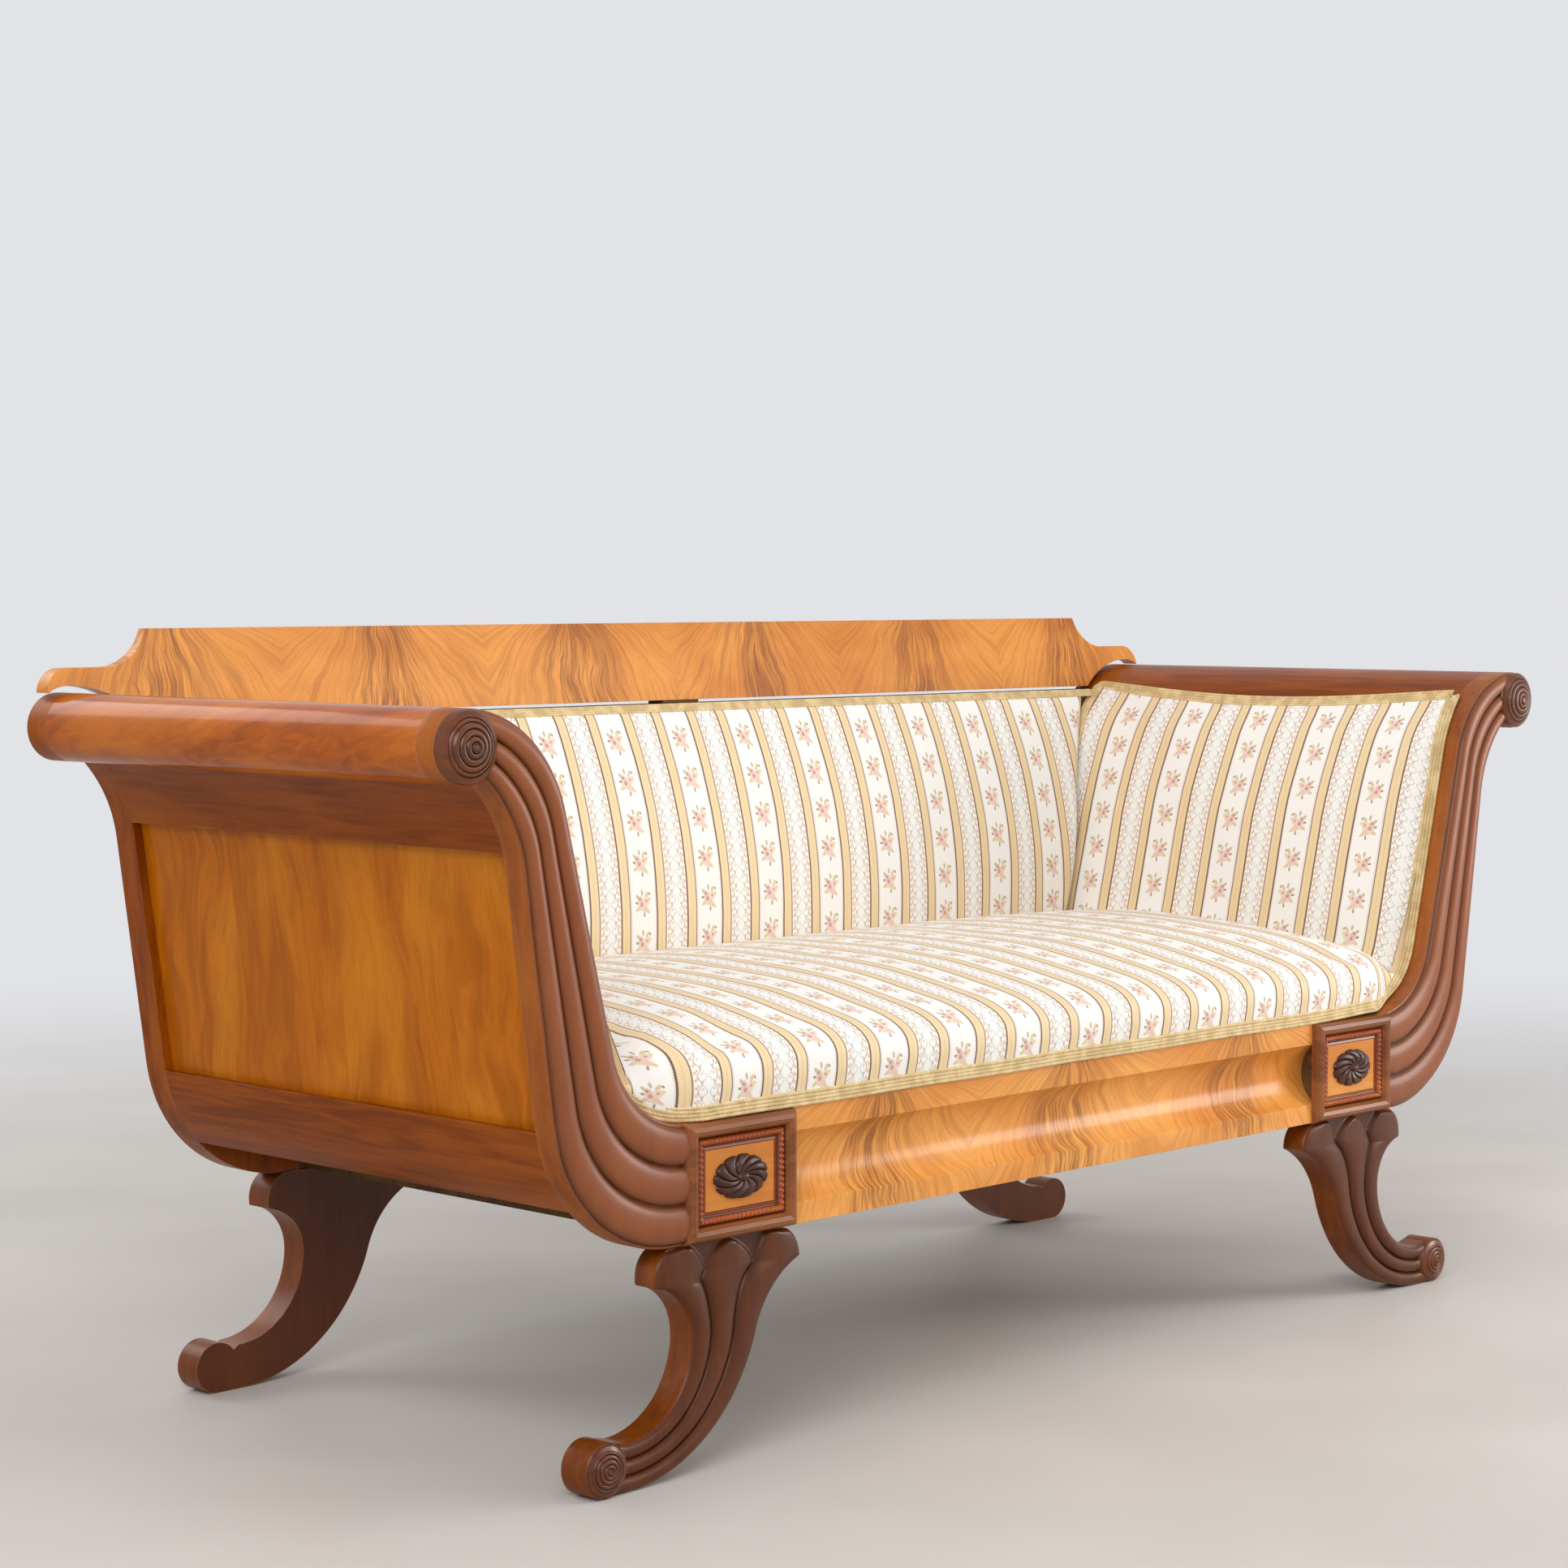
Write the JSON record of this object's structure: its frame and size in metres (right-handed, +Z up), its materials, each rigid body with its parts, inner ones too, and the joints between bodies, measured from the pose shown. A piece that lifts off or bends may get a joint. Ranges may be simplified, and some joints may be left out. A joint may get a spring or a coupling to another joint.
{
  "type": "biedermeier sofa",
  "caption": "Long scroll-arm sofa in polished mahogany with reeded stiles, swept scroll feet, shaped crest and striped floral upholstery",
  "frame": {"origin": "on the floor, under the middle of the sofa's box", "axes": "+X along the sofa to the viewer's right, +Y to the back, +Z up"},
  "size_m": [2, 0.736, 0.908],
  "materials": {
    "flame_veneer": "polished bookmatched flame mahogany veneer",
    "plain_veneer": "polished straight-grained mahogany veneer",
    "carved_mahogany": "polished carved mahogany",
    "turned_mahogany": "polished turned mahogany with dark grooves",
    "ripple_moulding": "polished ripple moulding",
    "light_panel": "polished light maple veneer",
    "dark_carving": "dark stained carved wood",
    "pine": "bare pine, oxidised",
    "striped_fabric": "woven stripe with small flowers",
    "gimp_braid": "woven braid",
    "jute_webbing": "coarse jute",
    "hessian": "coarse plain weave"
  },
  "bodies": {
    "root": {"arm_cap_rail_left": "plain_veneer", "arm_cap_rail_right": "plain_veneer", "arm_gimp_left": "gimp_braid", "arm_gimp_right": "gimp_braid", "arm_lining_left": "hessian", "arm_lining_right": "hessian", "arm_pad_left": "striped_fabric", "arm_pad_right": "striped_fabric", "arm_roll_left": "plain_veneer", "arm_roll_right": "plain_veneer", "arm_tack_rail_left": "pine", "arm_tack_rail_right": "pine", "back_cloth": "hessian", "back_gimp": "gimp_braid", "back_hessian": "hessian", "back_low_rails": "pine", "back_muntin": "pine", "back_pad": "striped_fabric", "back_top_rails": "pine", "back_webbing": "jute_webbing", "block_flowers": "dark_carving", "block_frame_left": "carved_mahogany", "block_frame_right": "carved_mahogany", "block_panel_left": "light_panel", "block_panel_right": "light_panel", "block_ripples": "ripple_moulding", "corner_block_left": "pine", "corner_block_right": "pine", "crest_rail": "flame_veneer", "end_bottom_rail_left": "plain_veneer", "end_bottom_rail_right": "plain_veneer", "end_panel_left": "flame_veneer", "end_panel_right": "flame_veneer", "end_top_rail_left": "plain_veneer", "end_top_rail_right": "plain_veneer", "foot_rosettes": "turned_mahogany", "front_foot_left": "carved_mahogany", "front_foot_right": "carved_mahogany", "front_rail": "flame_veneer", "front_stile_left": "carved_mahogany", "front_stile_right": "carved_mahogany", "glue_blocks": "pine", "rear_foot_left": "plain_veneer", "rear_foot_right": "plain_veneer", "rear_rail": "pine", "rear_stile_left": "plain_veneer", "rear_stile_right": "plain_veneer", "roll_rosettes": "turned_mahogany", "seat_bearers": "pine", "seat_gimp": "gimp_braid", "seat_hessian": "hessian", "seat_pad": "striped_fabric", "seat_webbing": "jute_webbing", "side_rail_left": "pine", "side_rail_right": "pine"}
  },
  "joints": []
}
